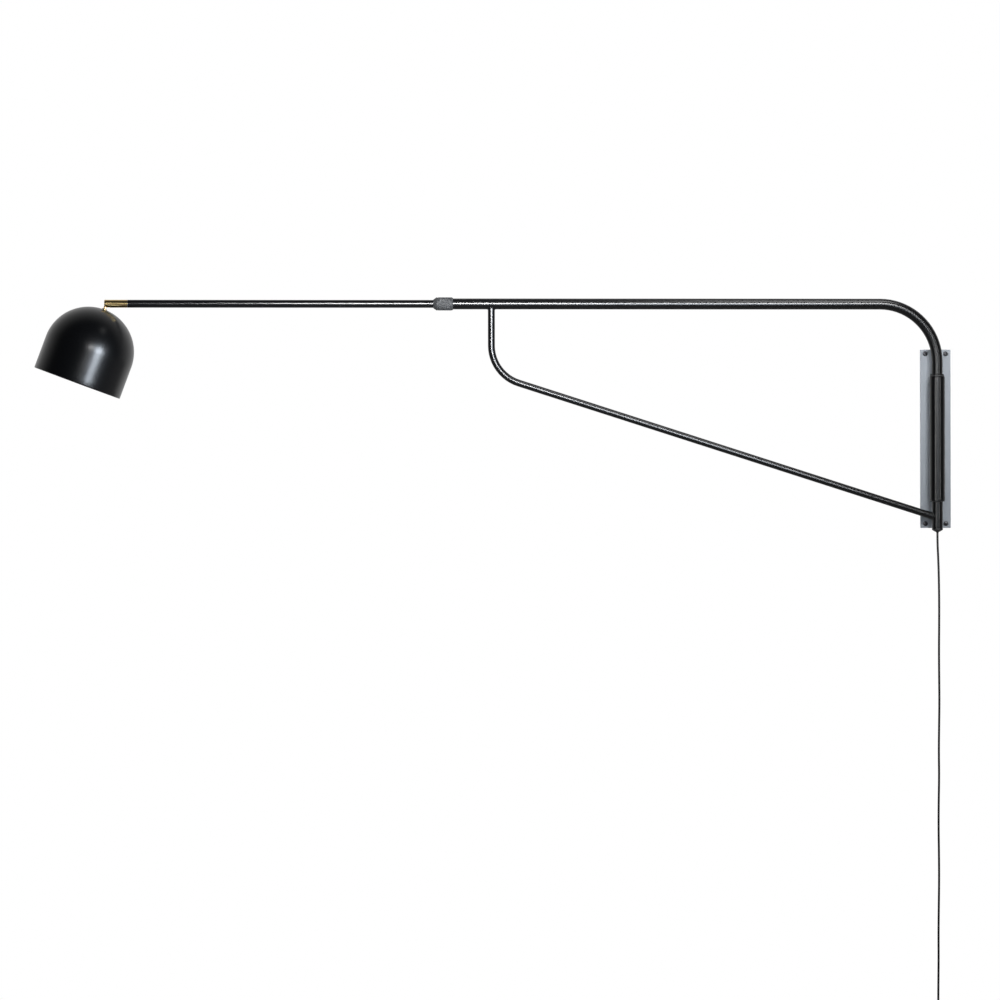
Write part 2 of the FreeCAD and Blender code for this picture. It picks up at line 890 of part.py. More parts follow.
def make_tail_grommet():
    bore = cord_radius + at.seat_gap
    plug = inner_bore - at.seat_gap
    low, high = inner_tail - at.grommet_lip, inner_tail + at.grommet_plug
    outline = [(bore, low), (inner_radius, low), (inner_radius, inner_tail), (plug, inner_tail), (plug, high), (bore, high)]
    return on_reach(turned("tail_grommet", outline))


def make_extension_lead():
    end = knuckle_high - at.slot_deep - at.pin_dia
    return on_reach(tube("extension_lead", None, cord_radius, inner_tail - at.grommet_lip, end))


def make_swivel_washer():
    low = inner_end + at.seat_gap
    return on_reach(tube("swivel_washer", inner_bore, inner_radius, low, knuckle_low - at.seat_gap))


def make_swivel_grub():
    """The grub screw through the tube's underside, whose tip runs in the spigot's groove."""
    tip = inner_bore - at.running - at.race_deep + at.soft_gap
    body = tube("swivel_grub", None, at.grub_dia / 2, -inner_radius, -tip)
    return place(body, *pivot_point(inner_end - at.grub_back), SWING)


def make_knuckle():
    """The brass end piece: a spigot that swivels in the tube, and a slotted end for the shade's neck."""
    bore, spigot = at.knuckle_bore / 2, inner_bore - at.running
    start, floor = knuckle_low - at.spigot_long, knuckle_high - at.slot_deep - at.pin_dia
    race = inner_end - at.grub_back
    track = spigot - at.race_deep
    outline = [
        (bore, start),
        (spigot, start),
        (spigot, race - at.race_wide / 2),
        (track, race - at.race_wide / 2),
        (track, race + at.race_wide / 2),
        (spigot, race + at.race_wide / 2),
        (spigot, knuckle_low),
        (inner_radius, knuckle_low),
        (inner_radius, knuckle_high - 1),
        (inner_radius - 1, knuckle_high),
        (0, knuckle_high),
        (0, floor + bore),
        (bore, floor),
    ]
    body = turned("knuckle_sleeve", outline)
    slot = new_sketch(body, "XZ_Plane")
    draw_box(slot, (-at.inner_dia, knuckle_high - at.slot_deep), (at.slot_roof, knuckle_high + 1))
    pocket(body, slot, at.slot_wide, both_ways=True)
    hole = new_sketch(body, "XZ_Plane")
    draw_circle(hole, 0, pin_reach, at.pin_dia / 2 + at.seat_gap)
    pocket(body, hole, both_ways=True)
    return on_reach(body)


def make_tilt_pin():
    half = at.pin_long / 2
    body = tube("tilt_pin", None, at.pin_dia / 2, -half, half)
    return place(body, *pivot_point(pin_reach), SWING * TO_WALL)


def make_tilt_washers():
    """A thin washer each side of the neck's eye."""
    low = at.eye_thick / 2 + at.running
    body = tube("tilt_washers", at.pin_dia / 2 + at.seat_gap, at.eye_dia / 2, low, low + at.washer_thin)
    repeat_back = body.Tip
    rows = repeat(body, repeat_back, "Z_Axis", low * 2 + at.washer_thin)
    rows.Reversed = True
    return place(body, *pivot_point(pin_reach), SWING * TO_WALL)


# ---------------------------------------------------------------- shade and lampholder


def make_shade_neck():
    """The brass neck: an eye on the tilt pin, a hollow stem, a seat on the dome and a threaded stub."""
    stem, bore, stub = at.neck_dia / 2, at.neck_bore / 2, at.stub_dia / 2
    top, seat = -(at.eye_dia / 2 + 1), -at.seat_drop
    end = seat - at.stub_long
    outline = [
        (0, top),
        (stem, top),
        (stem, seat + at.seat_thick),
        (at.seat_dia / 2, seat + at.seat_thick),
        (at.seat_dia / 2, seat),
        (stub, seat),
        (stub, end),
        (bore, end),
        (bore, -at.port_drop),
        (0, -at.port_drop),
    ]
    body = turned("shade_neck", outline)
    tongue = new_sketch(body, "XZ_Plane")
    draw_box(tongue, (-stem + 0.4, -at.eye_tail), (stem - 0.4, -at.eye_dia / 4))
    pad(body, tongue, at.eye_thick, both_ways=True)
    eye = new_sketch(body, "XZ_Plane")
    draw_circle(eye, 0, 0, at.eye_dia / 2)
    pad(body, eye, at.eye_thick, both_ways=True)
    hole = new_sketch(body, "XZ_Plane")
    draw_circle(hole, 0, 0, at.pin_dia / 2 + at.running)
    pocket(body, hole, both_ways=True)
    port = new_sketch(body, "YZ_Plane")
    draw_circle(port, 0, -at.port_drop - bore, at.lead_dia / 2)
    pocket(body, port, reverse=True)
    return on_head(body)


def make_shade():
    """A straight skirt below a half-round dome, one wall thick, with its rim turned in."""
    top, inner_top = -at.seat_drop, -(at.seat_drop + at.shade_wall)
    lip = dome_inside - at.rim_lip
    outline = [
        (0, top),
        Round(dome_radius),
        (dome_radius, dome_middle),
        (dome_radius, mouth + at.rim_bevel),
        (dome_radius - at.rim_bevel, mouth),
        (lip + at.rim_bevel, mouth),
        (lip, mouth + at.rim_bevel),
        (lip, mouth + at.rim_tall),
        (dome_inside, mouth + at.rim_tall),
        (dome_inside, dome_middle),
        Round(dome_inside, left=False),
        (0, inner_top),
    ]
    body = turned("shade", outline)
    hole = new_sketch(body, "XY_Plane", -at.seat_drop / 2)
    draw_circle(hole, 0, 0, at.stub_dia / 2 + at.running)
    pocket(body, hole)
    return on_head(body)


washer_radius = at.lock_washer_dia / 2
washer_top = (
    -(at.seat_drop + at.shade_wall)
    - (dome_inside - root_of(dome_inside * dome_inside - washer_radius * washer_radius))
    - at.running
)
nut_top = washer_top - at.lock_washer_thick - at.seat_gap
cap_top = nut_top - at.nut_thick - at.seat_gap
holder_top = cap_top - at.holder_cap_tall
carrier_low = holder_top - at.carrier_tall - 0.5
lamp_top = carrier_low - 2.0
lamp_neck = lamp_top - at.lamp_cap_tall
lamp_middle = lamp_top - at.lamp_long + at.lamp_globe / 2


def make_lock_washer():
    bore = at.stub_dia / 2 + at.running
    return on_head(tube("lock_washer", bore, washer_radius, washer_top - at.lock_washer_thick, washer_top))


def make_shade_nut():
    """The hexagon nut inside the dome."""
    body = new_body("shade_nut")
    face = new_sketch(body, "XY_Plane", nut_top - at.nut_thick)
    side = at.nut_flats / 2
    point = at.nut_flats / math.sqrt(3)
    draw_outline(
        face,
        [
            (point, 0),
            (point / 2, side),
            (-point / 2, side),
            (-point, 0),
            (-point / 2, -side),
            (point / 2, -side),
        ],
    )
    draw_circle(face, 0, 0, at.stub_dia / 2 + at.running)
    pad(body, face, at.nut_thick)
    return on_head(body)


def make_holder_cap():
    bore, boss, wall = at.stub_dia / 2 + at.running, at.holder_boss / 2, at.holder_cap_wall
    top, foot = at.holder_cap_top / 2, at.holder_cap_dia / 2
    outline = [
        (bore, cap_top),
        (top, cap_top),
        (foot, cap_top - at.holder_boss_tall),
        (foot, holder_top),
        (foot - wall, holder_top),
        (foot - wall, cap_top - at.holder_boss_tall),
        (top - wall, cap_top - wall),
        (boss, cap_top - wall),
        (boss, cap_top - at.holder_boss_tall),
        (bore, cap_top - at.holder_boss_tall),
    ]
    return on_head(turned("holder_cap", outline))


def make_lampholder():
    """The threaded body below the cap."""
    outer, bore, wide = at.holder_dia / 2, at.holder_bore / 2, at.carrier_dia / 2 + at.twist_gap
    top, foot = holder_top - at.seat_gap, holder_top - at.holder_tall
    outline = [
        (wide, top),
        (outer - 1, top),
        (outer, top - 1),
        (outer, foot + 1),
        (outer - 1, foot),
        (bore, foot),
        (bore, carrier_low - at.seat_gap),
        (wide, carrier_low - at.seat_gap),
    ]
    return on_head(turned("lampholder", outline))


def make_contact_carrier():
    """The disc with the centre contact under the holder's cap."""
    radius, contact = at.carrier_dia / 2, at.lamp_tip_dia / 3
    outline = [
        (0, carrier_low + at.carrier_tall),
        (radius, carrier_low + at.carrier_tall),
        (radius, carrier_low),
        (contact, carrier_low),
        (contact, lamp_top + at.seat_gap),
        (0, lamp_top + at.seat_gap),
    ]
    return on_head(turned("contact_carrier", outline))


def make_lamp_cap():
    """The lamp's screw cap and its tip."""
    tip, radius = at.lamp_tip_dia / 2, at.lamp_cap_dia / 2
    outline = [
        (0, lamp_top),
        (tip, lamp_top),
        (tip, lamp_top - 1.5),
        (radius, lamp_top - tip - 1),
        (radius, lamp_neck),
        (0, lamp_neck),
    ]
    return on_head(turned("lamp_cap", outline))


def make_lamp_globe():
    ball = at.lamp_globe / 2
    throat = ball * 0.7
    level = lamp_middle + root_of(ball * ball - throat * throat)
    neck = at.lamp_cap_dia / 2
    outline = [
        (0, lamp_neck - at.seat_gap),
        (neck, lamp_neck - at.seat_gap),
        (neck + 1, lamp_neck - 9),
        (throat, level),
        Round(ball),
        (ball, lamp_middle),
        Round(ball),
        (0, lamp_middle - ball),
    ]
    return on_head(turned("lamp_globe", outline))


def make_head_lead():
    """The lead through the neck, down to the contacts."""
    low = carrier_low + at.carrier_tall + at.seat_gap
    return on_head(tube("head_lead", None, at.lead_dia / 2, low, -at.port_drop - at.neck_bore / 2))


# ---------------------------------------------------------------- free cord


def smooth_runs(route):
    """The wire of a route: straight runs joined by arcs as large as their two runs allow."""
    edges, radii, start = [], [], route[0]
    for before, corner, after in zip(route, route[1:], route[2:]):
        back, ahead = before - corner, after - corner
        trim = 0.45 * min(back.Length, ahead.Length)
        back.normalize()
        ahead.normalize()
        half = (math.pi - back.getAngle(ahead)) / 2
        radius = trim / math.tan(half)
        middle = corner + (back + ahead).normalize() * (radius / math.cos(half) - radius)
        into, out = corner + back * trim, corner + ahead * trim
        edges.append(Part.LineSegment(start, into).toShape())
        edges.append(Part.Arc(into, middle, out).toShape())
        radii.append(round(radius, 1))
        start = out
    edges.append(Part.LineSegment(start, route[-1]).toShape())
    return Part.Wire(edges), radii


def cord_solid(wire, start, way, radius):
    """A round cord along a wire, with its volume set against its section times its length."""
    ring = Part.Wire([Part.Circle(start, way, radius).toShape()])
    solid = wire.makePipeShell([ring], True, False)
    share = solid.Volume / (math.pi * radius * radius * wire.Length)
    return solid, share


def add_cord(label, wire, start, way):
    """A stretch of cord as a sub-part in the pivot frame."""
    solid, share = cord_solid(wire, start, way, cord_radius.number)
    print(f"{label}: {wire.Length:.0f} mm long, volume over section times length {share:.4f}")
    feature = doc.addObject("Part::Feature", label)
    feature.Label = label
    feature.Shape = solid
    nodes.append(feature)
    on_pivot(feature)
    return wire.Length


def make_hanging_cord():
    route = [Vector(*point) for point in HANGING]
    route[0].z = gland_end.number
    wire, radii = smooth_runs(route)
    print("cord_hanging bend radii:", min(radii), "to", max(radii))
    return add_cord("cord_hanging", wire, route[0], route[1] - route[0])


def coil_point(turn):
    """A point of the coil's centreline after so many turns: in on one layer, across, and out again."""
    inwards, across, outwards = COIL_TURNS
    inner, pitch = at.coil_inner.number / 2, at.coil_pitch.number
    if turn < inwards:
        radius = inner + pitch * (inwards - turn)
    elif turn < inwards + across:
        radius = inner
    else:
        radius = inner + pitch * (turn - inwards - across)
    share = min(max((turn - inwards) / across, 0.0), 1.0)
    angle = math.radians(COIL_STARTS - 360 * turn)
    side = at.layer_pitch.number * share
    return Vector(*COIL_MIDDLE) + Vector(radius * math.cos(angle), -side, radius * math.sin(angle))


def coil_way(turn):
    """The coil's direction there."""
    step = 0.002
    return (coil_point(turn + step) - coil_point(turn - step)).normalize()


def two_arcs(start, way, end, end_way):
    """Two arcs that leave start along way, meet smoothly and reach end along end_way."""
    chord, both = end - start, way + end_way
    lean = 2 * (1 - way.dot(end_way))
    reach = (math.sqrt(chord.dot(both) ** 2 + lean * chord.dot(chord)) - chord.dot(both)) / lean
    first, second = start + way * reach, end - end_way * reach
    joint = (first + second) / 2
    return [arc_by_corner(start, first, joint), arc_by_corner(joint, second, end)]


def arc_by_corner(start, corner, end):
    """The arc from start to end whose tangents meet at corner."""
    middle = (start + end) / 2
    half, height = (end - start).Length / 2, (corner - middle).Length
    radius = half * (corner - start).Length / height
    rise = radius - math.sqrt(radius * radius - half * half)
    return Part.Arc(start, middle + (corner - middle).normalize() * rise, end).toShape()


def least_gap(wire, diameter):
    """The least gap between stretches of the wound cord that aren't neighbours along it."""
    points = wire.discretize(Distance=2.0)
    apart = int(4 * diameter / 2.0)
    best = min(
        (points[i] - points[j]).Length
        for i in range(len(points))
        for j in range(i + apart, len(points))
    )
    return best - diameter


coil_total = sum(COIL_TURNS)
coil_enters = coil_point(0) - coil_way(0) * at.cord_dia.number
coil_leaves = coil_point(coil_total) + coil_way(coil_total) * at.cord_dia.number


def make_coil():
    quarters = int(round(coil_total * 4))
    edges = [Part.LineSegment(coil_enters, coil_point(0)).toShape()]
    for i in range(quarters):
        a, b = i / 4, (i + 1) / 4
        edges += two_arcs(coil_point(a), coil_way(a), coil_point(b), coil_way(b))
    edges.append(Part.LineSegment(coil_point(coil_total), coil_leaves).toShape())
    wire = Part.Wire(edges)
    print(f"cord_coil least gap to itself {least_gap(wire, at.cord_dia.number):.2f} mm")
    return add_cord("cord_coil", wire, coil_enters, coil_way(0))


def meets_line(point, way):
    """Where a straight run through the point meets the hanging cord's line."""
    return point - way * (point.x / way.x)


def make_cord_drop():
    """From the switch down to the coil."""
    top = Vector(0, 0, SWITCH_AT - at.terminal_tall.number / 2)
    corner = meets_line(coil_enters, coil_way(0))
    wire, radii = smooth_runs([top, corner, coil_enters])
    print("cord_drop bend radii:", radii)
    return add_cord("cord_drop", wire, top, corner - top)


def make_cord_tail():
    """From the coil down to the plug."""
    lead = coil_way(coil_total)
    corner = meets_line(coil_leaves, lead)
    foot = Vector(0, corner.y, PLUG_AT)
    wire, radii = smooth_runs([coil_leaves, corner, foot])
    print("cord_tail bend radii:", radii)
    return add_cord("cord_tail", wire, coil_leaves, lead)


def make_coil_tie():
    """A strap round the turns at the top of the coil."""
    inner = at.coil_inner / 2 - cord_radius - at.soft_gap * 3
    outer = at.coil_inner / 2 + at.coil_pitch * (COIL_TURNS[2] - TIE_BACK) + cord_radius + at.soft_gap * 3
    front = -at.layer_pitch - cord_radius - at.soft_gap * 3
    back = cord_radius + at.soft_gap
    body = new_body("coil_tie")
    section = new_sketch(body, "YZ_Plane")
    thick = at.tie_thick
    draw_box(section, (front - thick, inner - thick), (back + thick, outer + thick))
    draw_box(section, (front, inner), (back, outer))
    pad(body, section, at.tie_wide, both_ways=True)
    return place(body, COIL_MIDDLE[0], -at.axis_off + COIL_MIDDLE[1], COIL_MIDDLE[2])


# ---------------------------------------------------------------- switch on the cord


def make_switch_shell(label, front):
    """One half of the switch's case; the front half has the rocker's window."""
    body = new_body(label)
    wide, tall, wall = at.switch_wide / 2, at.switch_tall / 2, at.switch_wall
    face = new_sketch(body, "XZ_Plane", at.seat_gap)
    draw_box(face, (-wide, -tall), (wide, tall))
    pad(body, face, at.switch_half)
    fillet(body, runs_along("Y"), at.switch_corner)
    hollow = new_sketch(body, "XZ_Plane", at.seat_gap)
    draw_box(hollow, (wall - wide, wall - tall), (wide - wall, tall - wall))
    pocket(body, hollow, at.switch_half - wall, reverse=True)
    if front:
        window = new_sketch(body, "XZ_Plane", at.seat_gap)
        half, high = at.rocker_wide / 2 + at.soft_gap, at.rocker_tall / 2 + 1.4
        draw_box(window, (-half, -high), (half, high))
        pocket(body, window, reverse=True)
    entry = new_sketch(body, "XY_Plane")
    draw_circle(entry, 0, 0, cord_radius + at.seat_gap)
    pocket(body, entry, both_ways=True)
    turn = Rotation() if front else Rotation(Vector(0, 0, 1), 180)
    return place(body, 0, -at.axis_off, SWITCH_AT, turn)


rocker_axle = at.switch_half - at.switch_wall - at.axle_dia / 2 - at.soft_gap


def make_switch_rocker():
    """The rocker about its axle, which is X; its face dips to the middle."""
    body = new_body("switch_rocker")
    high = at.rocker_tall / 2
    inner, face = at.axle_dia / 2, at.switch_half + at.rocker_proud - rocker_axle
    side = new_sketch(body, "YZ_Plane")
    draw_outline(side, [(inner, -high), (inner, high), (-face, high), (-face + at.rocker_dip, 0), (-face, -high)])
    pad(body, side, at.rocker_wide, both_ways=True)
    axle = new_sketch(body, "YZ_Plane")
    draw_circle(axle, 0, 0, at.axle_dia / 2)
    pad(body, axle, at.axle_long, both_ways=True)
    tip = Rotation(Vector(1, 0, 0), -at.rocker_rest.number)
    return place(body, 0, -at.axis_off - rocker_axle, SWITCH_AT, tip)


def make_switch_terminals():
    """The terminal block behind the rocker, where both ends of the cord are held."""
    body = new_body("switch_terminals")
    face = new_sketch(body, "XZ_Plane", -cord_radius)
    wide, tall = at.terminal_wide / 2, at.terminal_tall / 2
    draw_box(face, (-wide, -tall), (wide, tall))
    pad(body, face, at.terminal_deep, reverse=True)
    ends = new_sketch(body, "XZ_Plane", cord_radius)
    draw_box(ends, (-cord_radius, -tall), (cord_radius, tall))
    pad(body, ends, cord_radius * 2 + 0.5, reverse=True)
    return place(body, 0, -at.axis_off, SWITCH_AT)


# ---------------------------------------------------------------- plug


def on_plug(body):
    return place(body, 0, -at.axis_off + coil_leaves.y, PLUG_AT)


def make_plug_relief():
    grooves = []
    top, foot, long = at.relief_top / 2, at.relief_foot / 2, at.relief_long
    for step in range(1, 5):
        level = long * (step / 5.0)
        radius = top + (foot - top) * (step / 5.0)
        grooves += [(radius, -level + 0.8), (radius - 0.7, -level + 0.8), (radius - 0.7, -level - 0.8), (radius, -level - 0.8)]
    outline = [(0, 0), (top, 0), *grooves, (foot, -long), (0, -long)]
    return on_plug(turned("plug_relief", outline))


def make_plug_body():
    """A flat two-pin plug, wide at its face and narrow at the cord."""
    body = new_body("plug_body")
    top = -at.relief_long
    low = top - at.plug_tall
    neck, wide = at.plug_neck / 2, at.plug_wide / 2
    side = new_sketch(body, "XZ_Plane")
    shoulder = top - at.plug_tall * 0.45
    draw_outline(
        side,
        [(-neck, top), (-wide * 0.78, shoulder), (-wide, low), (wide, low), (wide * 0.78, shoulder), (neck, top)],
    )
    pad(body, side, at.plug_deep, both_ways=True)
    fillet(body, runs_along("Y"), 3.0)
    return on_plug(body)


def make_plug_pins():
    top = -at.relief_long - at.plug_tall - at.seat_gap
    tip, radius = top - at.prong_long, at.prong_dia / 2
    outline = [(0, top), (radius, top), (radius, tip + 1), (radius - 1, tip), (0, tip)]
    body = turned("plug_pins", outline)
    repeat(body, body.Tip, "X_Axis", at.pin_spacing)
    return place(body, -at.pin_spacing / 2, -at.axis_off + coil_leaves.y, PLUG_AT)


# ---------------------------------------------------------------- the whole lamp


def build():
    make_wall_plate()
    make_plate_screws()
    make_sleeve_blocks()
    make_block_screws()
    make_pivot_sleeve()
    make_bush("upper_bush", 1)
    make_bush("lower_bush", -1)
    make_support_ring()
    make_main_tube()
    make_brace_tube()
    make_leg_cap()
    make_cord_gland()
    make_leg_lead()
    make_curly_lead()
    make_clamp_insert()
    make_collet_ring()
    make_lock_collar()
    make_inner_tube()
    make_guide_bush()
    make_tail_grommet()
    make_extension_lead()
    make_swivel_washer()
    make_swivel_grub()
    make_knuckle()
    make_tilt_pin()
    make_tilt_washers()
    make_shade_neck()
    make_shade()
    make_lock_washer()
    make_shade_nut()
    make_holder_cap()
    make_lampholder()
    make_contact_carrier()
    make_lamp_cap()
    make_lamp_globe()
    make_head_lead()
    length = make_hanging_cord() + make_cord_drop() + make_coil() + make_cord_tail()
    print(f"cord in all {length:.0f} mm")
    make_coil_tie()
    make_switch_shell("switch_front", True)
    make_switch_shell("switch_back", False)
    make_switch_rocker()
    make_switch_terminals()
    make_plug_relief()
    make_plug_body()
    make_plug_pins()


def check():
    """Stops if any object failed to compute or any sub-part is empty or broken."""
    for thing in doc.Objects:
        if {"Invalid", "Error"} & set(thing.State):
            raise ValueError(f"{thing.Label} ({thing.TypeId}) is {thing.State}")
    for node in nodes:
        if node.Shape.isNull() or not node.Shape.isValid() or not node.Shape.Solids:
            raise ValueError(f"{node.Label} has no valid solid")


def export():
    os.makedirs("parts", exist_ok=True)
    for node in nodes:
        node.Shape.exportStep(f"parts/{node.Label}.step")
    print(len(nodes), "sub-parts written")


build()
doc.recompute()
check()
export()
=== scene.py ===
import math
import bmesh
import bpy
from mathutils import Matrix, Vector


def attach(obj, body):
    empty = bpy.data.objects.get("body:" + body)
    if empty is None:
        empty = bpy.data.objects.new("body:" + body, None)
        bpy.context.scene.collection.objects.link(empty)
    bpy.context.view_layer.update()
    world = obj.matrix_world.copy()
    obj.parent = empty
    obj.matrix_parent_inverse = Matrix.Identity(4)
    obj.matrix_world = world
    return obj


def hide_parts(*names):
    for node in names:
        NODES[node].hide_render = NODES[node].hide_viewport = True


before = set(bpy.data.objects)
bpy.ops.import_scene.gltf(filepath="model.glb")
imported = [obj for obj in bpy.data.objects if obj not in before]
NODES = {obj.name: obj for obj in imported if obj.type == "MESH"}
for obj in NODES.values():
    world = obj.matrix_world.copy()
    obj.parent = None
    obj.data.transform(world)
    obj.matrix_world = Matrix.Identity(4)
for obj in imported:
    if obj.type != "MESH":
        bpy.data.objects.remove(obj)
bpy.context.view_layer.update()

# Everything is in metres, in the model's frame: the wall is Y = 0, the room lies towards -Y, +Z is up.
SWING = math.radians(2.5)
TILT = math.radians(20.4)
AXIS_OFF = 0.040
ARM_HEIGHT = 0.309
PIN_REACH = 1.9032

PIVOT = Matrix.Translation((0, -AXIS_OFF, 0))
ARM = PIVOT @ Matrix.Rotation(SWING, 4, "Z")
REACH = ARM @ Matrix.Translation((0, 0, ARM_HEIGHT)) @ Matrix.Rotation(math.radians(-90), 4, "Y")
HEAD = ARM @ Matrix.Translation((-PIN_REACH, 0, ARM_HEIGHT)) @ Matrix.Rotation(TILT, 4, "Y")


def linked(name, data):
    """A new object in the scene, of a mesh, curve, lamp or camera."""
    item = bpy.data.objects.new(name, data)
    bpy.context.scene.collection.objects.link(item)
    return item


# ---------------------------------------------------------------- camera

CAMERA_FAR = 8.5
CAMERA_AT = (-1.006, -AXIS_OFF - CAMERA_FAR, -0.1396)
CAMERA_ROLL = math.radians(-0.1)
FRAME_WIDE = 2.3
SENSOR = 36.0
camera_data = bpy.data.cameras.new("camera")
camera_data.sensor_width = SENSOR
camera_data.lens = SENSOR * CAMERA_FAR / FRAME_WIDE
camera_data.clip_end = 60.0
camera = linked("camera", camera_data)
camera.matrix_world = (
    Matrix.Translation(CAMERA_AT)
    @ Matrix.Rotation(math.radians(90), 4, "X")
    @ Matrix.Rotation(CAMERA_ROLL, 4, "Z")
)
bpy.context.scene.camera = camera
bpy.context.scene.view_settings.view_transform = "Standard"


# ---------------------------------------------------------------- materials

PEEL_DEEP = 0.000004
RINGS_DEEP = 0.0000015


def new_tree(name):
    material = bpy.data.materials.new(name)
    material.use_nodes = True
    tree = material.node_tree
    return material, tree, tree.nodes["Principled BSDF"]


def add(tree, kind, **values):
    node = tree.nodes.new(kind)
    for key, value in values.items():
        setattr(node, key, value)
    return node


def placed(tree, stretch=(1, 1, 1)):
    """Coordinates in the model's frame, stretched per axis."""
    coords = add(tree, "ShaderNodeTexCoord")
    mapping = add(tree, "ShaderNodeMapping")
    mapping.inputs["Scale"].default_value = stretch
    tree.links.new(coords.outputs["Object"], mapping.inputs["Vector"])
    return mapping.outputs["Vector"]


def noise(tree, where, scale, detail=3.0, rough=0.55):
    node = add(tree, "ShaderNodeTexNoise")
    node.inputs["Scale"].default_value = scale
    node.inputs["Detail"].default_value = detail
    node.inputs["Roughness"].default_value = rough
    tree.links.new(where, node.inputs["Vector"])
    return node.outputs["Fac"]


def ranged(tree, value, low, high, start=0.35, stop=0.65):
    node = add(tree, "ShaderNodeMapRange")
    node.inputs["From Min"].default_value = start
    node.inputs["From Max"].default_value = stop
    node.inputs["To Min"].default_value = low
    node.inputs["To Max"].default_value = high
    tree.links.new(value, node.inputs["Value"])
    return node.outputs["Result"]


def mixed(tree, factor, first, second):
    node = add(tree, "ShaderNodeMix", data_type="RGBA")
    node.inputs["A"].default_value = (*first, 1)
    node.inputs["B"].default_value = (*second, 1)
    tree.links.new(factor, node.inputs["Factor"])
    return node.outputs["Result"]


def bumped(tree, shader, heights):
    """Chains bump nodes, one for each (height, strength, distance)."""
    last = None
    for height, strength, distance in heights:
        node = add(tree, "ShaderNodeBump")
        node.inputs["Strength"].default_value = strength
        node.inputs["Distance"].default_value = distance
        tree.links.new(height, node.inputs["Height"])
        if last is not None:
            tree.links.new(last, node.inputs["Normal"])
        last = node.outputs["Normal"]
    tree.links.new(last, shader.inputs["Normal"])


def coat_paint(name, colour, tone, rough, grain=700.0):
    """Powder coat or satin paint: a fine orange peel, uneven sheen and fine specks."""
    material, tree, shader = new_tree(name)
    where = placed(tree)
    broad = noise(tree, where, 9.0, 4.0)
    fine = noise(tree, where, grain, 2.0)
    specks = noise(tree, where, grain * 2.6, 1.0)
    tree.links.new(mixed(tree, broad, colour, tone), shader.inputs["Base Color"])
    tree.links.new(ranged(tree, noise(tree, where, 18.0, 3.0), *rough), shader.inputs["Roughness"])
    bumped(tree, shader, [(fine, 0.35, PEEL_DEEP), (specks, 0.2, PEEL_DEEP / 3)])
    return material


def turned_metal(name, colour, tone, rough, axis):
    """Metal turned on a lathe: fine rings across the axis and slight tarnish."""
    material, tree, shader = new_tree(name)
    stretch = tuple(1.0 if i == axis else 0.02 for i in range(3))
    rings = noise(tree, placed(tree, stretch), 5200.0, 2.0, 0.7)
    where = placed(tree)
    tarnish = noise(tree, where, 60.0, 4.0, 0.6)
    tree.links.new(mixed(tree, ranged(tree, tarnish, 0, 1), colour, tone), shader.inputs["Base Color"])
    tree.links.new(ranged(tree, noise(tree, where, 60.0, 3.0), *rough), shader.inputs["Roughness"])
    shader.inputs["Metallic"].default_value = 1.0
    bumped(tree, shader, [(rings, 0.5, RINGS_DEEP), (tarnish, 0.1, RINGS_DEEP)])
    return material


def moulded(name, colour, tone, rough, grain=900.0, depth=0.00001):
    """Moulded plastic with a fine spark-eroded grain."""
    material, tree, shader = new_tree(name)
    where = placed(tree)
    tree.links.new(mixed(tree, noise(tree, where, 30.0), colour, tone), shader.inputs["Base Color"])
    tree.links.new(ranged(tree, noise(tree, where, 80.0, 5.0), *rough), shader.inputs["Roughness"])
    bumped(tree, shader, [(noise(tree, where, grain, 3.0), 0.5, depth)])
    return material


BLACK = coat_paint("black_satin", (0.0022, 0.0022, 0.0026), (0.0032, 0.0032, 0.0037), (0.245, 0.26))
SHADE_BLACK = coat_paint(
    "shade_satin", (0.0018, 0.0019, 0.0024), (0.0026, 0.0027, 0.0033), (0.275, 0.29), 900.0
)
COLLAR_BLACK = moulded("collar_matte", (0.036, 0.037, 0.039), (0.045, 0.046, 0.048), (0.5, 0.62))
# Painted reflection: the plate's grey base colour stands in for the bright lamps and surroundings
# reflected in a dark satin plate.
PLATE_GREY_PAINTED_REFLECTION = coat_paint("plate_painted_reflection", (0.225, 0.25, 0.285), (0.26, 0.285, 0.32), (0.42, 0.52), 600.0)
WHITE = coat_paint("inside_white", (0.80, 0.80, 0.78), (0.86, 0.86, 0.84), (0.40, 0.5), 500.0)
BRASS = turned_metal("brass_turned", (0.80, 0.60, 0.28), (0.74, 0.54, 0.24), (0.22, 0.25), 0)
ZINC = turned_metal("zinc_steel", (0.60, 0.61, 0.62), (0.48, 0.49, 0.50), (0.30, 0.42), 2)
NICKEL = turned_metal("nickel", (0.74, 0.72, 0.68), (0.62, 0.60, 0.56), (0.16, 0.26), 2)
NYLON = moulded("nylon_black", (0.020, 0.020, 0.021), (0.028, 0.028, 0.030), (0.45, 0.55))
PLASTIC = moulded("plastic_black", (0.012, 0.012, 0.013), (0.018, 0.018, 0.019), (0.38, 0.5))
CERAMIC = moulded("terminal_cream", (0.74, 0.72, 0.66), (0.80, 0.78, 0.73), (0.3, 0.4))
JACKET = moulded("cord_pvc", (0.010, 0.010, 0.010), (0.016, 0.016, 0.016), (0.34, 0.46), 1400.0, 0.00003)
STRAP = moulded("strap_fabric", (0.014, 0.014, 0.015), (0.024, 0.024, 0.026), (0.7, 0.85), 2600.0, 0.0001)
SCREW = turned_metal("screw_black", (0.10, 0.10, 0.105), (0.05, 0.05, 0.055), (0.30, 0.42), 1)


